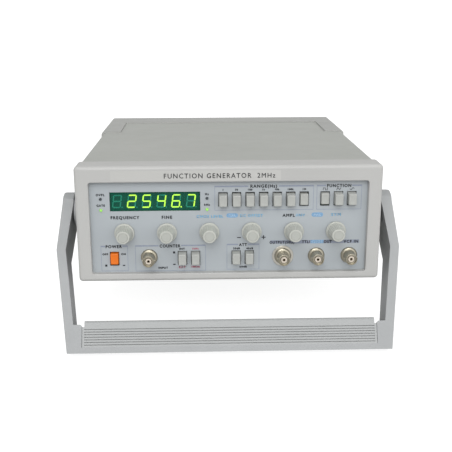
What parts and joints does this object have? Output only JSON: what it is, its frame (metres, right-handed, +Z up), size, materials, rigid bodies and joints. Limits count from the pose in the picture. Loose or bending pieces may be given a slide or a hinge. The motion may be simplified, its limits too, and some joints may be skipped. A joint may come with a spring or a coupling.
{
  "type": "bench function generator",
  "caption": "Bench signal generator with a digital frequency display, rows of push keys, fluted knobs and coaxial jacks, standing tilted on its carry handle.",
  "frame": {"origin": "on the table under the middle of the object's bounding box, as it stands on its handle", "axes": "+X to the right seen from the front, +Y from the control panel to the back, +Z up"},
  "size_m": [0.2884, 0.3362, 0.1518],
  "materials": {
    "bezel_plastic": "fine moulded texture, warm light grey",
    "cover_paint": "satin light grey paint",
    "foot_rubber": "black rubber",
    "screw_steel": "zinc-plated steel",
    "panel_paint": "satin bluish-grey paint",
    "window_green": "glossy transparent green",
    "digit_face": "dark face with lit green segments",
    "led_lens": "diffused green lens",
    "board_laminate": "green solder mask",
    "switch_black": "black moulding",
    "nickel": "bright nickel plate",
    "insulator_white": "white fluoropolymer",
    "contact_brass": "plated brass",
    "rail_aluminium": "mill finish",
    "core_iron": "varnished laminations",
    "coil_tape": "yellow tape",
    "handle_plastic": "fine moulded texture, light grey",
    "grip_plastic": "ribbed soft plastic, light grey",
    "key_grey": "satin grey keycap",
    "key_orange": "satin orange keycap",
    "knob_ivory": "off-white fluted plastic"
  },
  "bodies": {
    "case": {"front_bezel": "bezel_plastic", "rear_bezel": "bezel_plastic", "top_cover": "cover_paint", "bottom_cover": "cover_paint", "rear_panel": "cover_paint", "rubber_feet": "foot_rubber", "case_screws": "screw_steel", "front_panel": "panel_paint", "display_window": "window_green", "display_digits": "digit_face", "indicator_leds": "led_lens", "display_board": "board_laminate", "control_board": "board_laminate", "range_switch_bank": "switch_black", "function_switch_bank": "switch_black", "lower_switch_banks": "switch_black", "power_switch": "switch_black", "potentiometers": "screw_steel", "panel_nuts": "screw_steel", "bnc_shells": "nickel", "bnc_insulators": "insulator_white", "bnc_contacts": "contact_brass", "output_washer": "nickel", "mains_inlet": "switch_black", "inlet_pins": "nickel", "main_board": "board_laminate", "side_rails": "rail_aluminium", "transformer_core": "core_iron", "transformer_coil": "coil_tape", "handle_hubs": "handle_plastic", "pivot_caps": "handle_plastic"},
    "handle": {"handle_arm_right": "handle_plastic", "handle_arm_left": "handle_plastic", "handle_bar": "handle_plastic", "handle_grip": "grip_plastic"},
    "key_range_1": {"key_range_1": "key_grey"},
    "key_range_10": {"key_range_10": "key_grey"},
    "key_range_100": {"key_range_100": "key_grey"},
    "key_range_1k": {"key_range_1k": "key_grey"},
    "key_range_10k": {"key_range_10k": "key_grey"},
    "key_range_100k": {"key_range_100k": "key_grey"},
    "key_range_1m": {"key_range_1m": "key_grey"},
    "key_function_square": {"key_function_square": "key_grey"},
    "key_function_triangle": {"key_function_triangle": "key_grey"},
    "key_function_sine": {"key_function_sine": "key_grey"},
    "key_counter_source": {"key_counter_source": "key_grey"},
    "key_counter_gate": {"key_counter_gate": "key_grey"},
    "key_attenuator_20db": {"key_attenuator_20db": "key_grey"},
    "key_attenuator_40db": {"key_attenuator_40db": "key_grey"},
    "key_power": {"key_power": "key_orange"},
    "knob_frequency": {"knob_frequency": "knob_ivory"},
    "knob_fine": {"knob_fine": "knob_ivory"},
    "knob_level": {"knob_level": "knob_ivory"},
    "pull_yoke_level": {"pull_yoke_level": "switch_black"},
    "knob_offset": {"knob_offset": "knob_ivory"},
    "pull_yoke_offset": {"pull_yoke_offset": "switch_black"},
    "knob_amplitude": {"knob_amplitude": "knob_ivory"},
    "pull_yoke_amplitude": {"pull_yoke_amplitude": "switch_black"},
    "knob_symmetry": {"knob_symmetry": "knob_ivory"},
    "pull_yoke_symmetry": {"pull_yoke_symmetry": "switch_black"}
  },
  "joints": [
    {"name": "handle_pivot", "type": "hinge", "parent": "case", "child": "handle", "pos_m": [0, -0.08575, 0.10038], "axis": [-1, 0, 0], "range_deg": [-75, 205]},
    {"name": "key_range_1_press", "type": "slide", "parent": "case", "child": "key_range_1", "axis": [0, 0.9823, -0.1875], "range_m": [0, 0.004], "stiffness_N_per_m": 300},
    {"name": "key_range_10_press", "type": "slide", "parent": "case", "child": "key_range_10", "axis": [0, 0.9823, -0.1875], "range_m": [0, 0.004], "stiffness_N_per_m": 300},
    {"name": "key_range_100_press", "type": "slide", "parent": "case", "child": "key_range_100", "axis": [0, 0.9823, -0.1875], "range_m": [0, 0.004], "stiffness_N_per_m": 300},
    {"name": "key_range_1k_press", "type": "slide", "parent": "case", "child": "key_range_1k", "axis": [0, 0.9823, -0.1875], "range_m": [0, 0.004], "stiffness_N_per_m": 300},
    {"name": "key_range_10k_press", "type": "slide", "parent": "case", "child": "key_range_10k", "axis": [0, 0.9823, -0.1875], "range_m": [0, 0.004], "stiffness_N_per_m": 300},
    {"name": "key_range_100k_press", "type": "slide", "parent": "case", "child": "key_range_100k", "axis": [0, 0.9823, -0.1875], "range_m": [0, 0.004], "stiffness_N_per_m": 300},
    {"name": "key_range_1m_press", "type": "slide", "parent": "case", "child": "key_range_1m", "axis": [0, 0.9823, -0.1875], "range_m": [-0.004, 0]},
    {"name": "key_function_square_press", "type": "slide", "parent": "case", "child": "key_function_square", "axis": [0, 0.9823, -0.1875], "range_m": [-0.004, 0]},
    {"name": "key_function_triangle_press", "type": "slide", "parent": "case", "child": "key_function_triangle", "axis": [0, 0.9823, -0.1875], "range_m": [0, 0.004], "stiffness_N_per_m": 300},
    {"name": "key_function_sine_press", "type": "slide", "parent": "case", "child": "key_function_sine", "axis": [0, 0.9823, -0.1875], "range_m": [0, 0.004], "stiffness_N_per_m": 300},
    {"name": "key_counter_source_press", "type": "slide", "parent": "case", "child": "key_counter_source", "axis": [0, 0.9823, -0.1875], "range_m": [0, 0.004], "stiffness_N_per_m": 300},
    {"name": "key_counter_gate_press", "type": "slide", "parent": "case", "child": "key_counter_gate", "axis": [0, 0.9823, -0.1875], "range_m": [0, 0.004], "stiffness_N_per_m": 300},
    {"name": "key_attenuator_20db_press", "type": "slide", "parent": "case", "child": "key_attenuator_20db", "axis": [0, 0.9823, -0.1875], "range_m": [0, 0.004], "stiffness_N_per_m": 300},
    {"name": "key_attenuator_40db_press", "type": "slide", "parent": "case", "child": "key_attenuator_40db", "axis": [0, 0.9823, -0.1875], "range_m": [0, 0.004], "stiffness_N_per_m": 300},
    {"name": "key_power_press", "type": "slide", "parent": "case", "child": "key_power", "axis": [0, 0.9823, -0.1875], "range_m": [-0.004, 0]},
    {"name": "knob_frequency_turn", "type": "hinge", "parent": "case", "child": "knob_frequency", "pos_m": [-0.0864, -0.1254, 0.09665], "axis": [0, 0.9823, -0.1875], "range_deg": [-150, 150]},
    {"name": "knob_fine_turn", "type": "hinge", "parent": "case", "child": "knob_fine", "pos_m": [-0.0514, -0.1254, 0.09665], "axis": [0, 0.9823, -0.1875], "range_deg": [-150, 150]},
    {"name": "knob_level_pull", "type": "slide", "parent": "case", "child": "pull_yoke_level", "axis": [0, -0.9823, 0.1875], "range_m": [0, 0.004]},
    {"name": "knob_level_turn", "type": "hinge", "parent": "pull_yoke_level", "child": "knob_level", "pos_m": [-0.0164, -0.1254, 0.09665], "axis": [0, 0.9823, -0.1875], "range_deg": [-150, 150]},
    {"name": "knob_offset_pull", "type": "slide", "parent": "case", "child": "pull_yoke_offset", "axis": [0, -0.9823, 0.1875], "range_m": [0, 0.004]},
    {"name": "knob_offset_turn", "type": "hinge", "parent": "pull_yoke_offset", "child": "knob_offset", "pos_m": [0.0186, -0.1254, 0.09665], "axis": [0, 0.9823, -0.1875], "range_deg": [-150, 150]},
    {"name": "knob_amplitude_pull", "type": "slide", "parent": "case", "child": "pull_yoke_amplitude", "axis": [0, -0.9823, 0.1875], "range_m": [0, 0.004]},
    {"name": "knob_amplitude_turn", "type": "hinge", "parent": "pull_yoke_amplitude", "child": "knob_amplitude", "pos_m": [0.0536, -0.1254, 0.09665], "axis": [0, 0.9823, -0.1875], "range_deg": [-150, 150]},
    {"name": "knob_symmetry_pull", "type": "slide", "parent": "case", "child": "pull_yoke_symmetry", "axis": [0, -0.9823, 0.1875], "range_m": [0, 0.004]},
    {"name": "knob_symmetry_turn", "type": "hinge", "parent": "pull_yoke_symmetry", "child": "knob_symmetry", "pos_m": [0.0886, -0.1254, 0.09665], "axis": [0, 0.9823, -0.1875], "range_deg": [-150, 150]}
  ]
}
